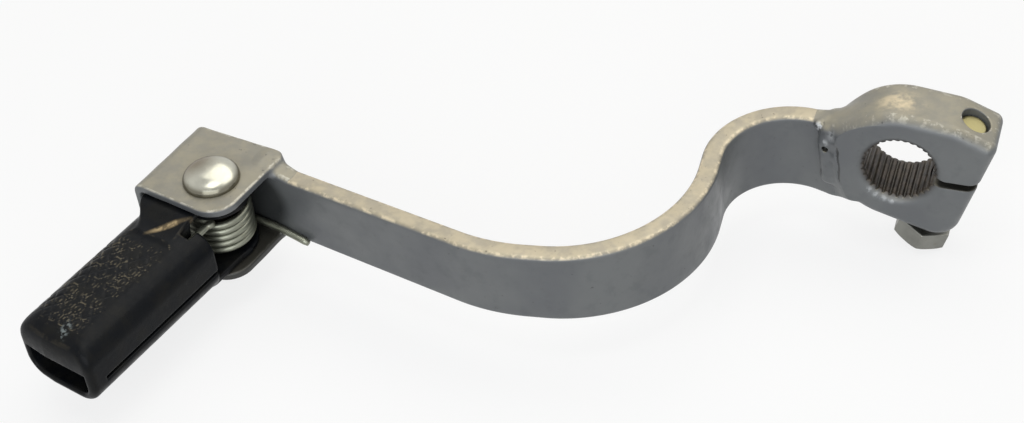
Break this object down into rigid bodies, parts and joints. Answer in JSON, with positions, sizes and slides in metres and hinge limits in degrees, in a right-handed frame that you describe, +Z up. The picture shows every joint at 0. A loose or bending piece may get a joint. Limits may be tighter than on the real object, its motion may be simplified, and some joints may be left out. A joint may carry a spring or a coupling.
{
  "type": "folding gear lever",
  "caption": "Motorbike gear lever: serrated split clamp boss, S-bent flat arm, and a sprung toe peg that folds on a rivet in a tip bracket.",
  "frame": {"origin": "middle of the serrated bore, on its axis", "axes": "+Y along the bore axis, away from the toe peg's open end; -X towards the tip of the arm; +Z up the height of the arm"},
  "size_m": [0.1652, 0.0948, 0.034],
  "materials": {
    "grey_paint": "satin",
    "weld_bead": "satin over a rough bead",
    "zinc": "zinc plated",
    "black_finish": "semi-gloss black"
  },
  "bodies": {
    "lever": {"clamp_boss": "grey_paint", "arm_bar": "grey_paint", "boss_weld": "weld_bead", "tip_bracket": "grey_paint", "bracket_weld": "weld_bead", "pinch_bolt": "zinc", "pivot_rivet": "zinc", "torsion_spring": "zinc"},
    "peg": {"toe_peg": "black_finish"}
  },
  "joints": [
    {"name": "peg_fold", "type": "hinge", "parent": "lever", "child": "peg", "pos_m": [-0.12491, -0.04344, -0.00425], "axis": [0, 0, 1], "range_deg": [0, 75], "stiffness_Nm_per_rad": 0.3, "springref_deg": -45.84, "deforming": ["torsion_spring"]}
  ]
}
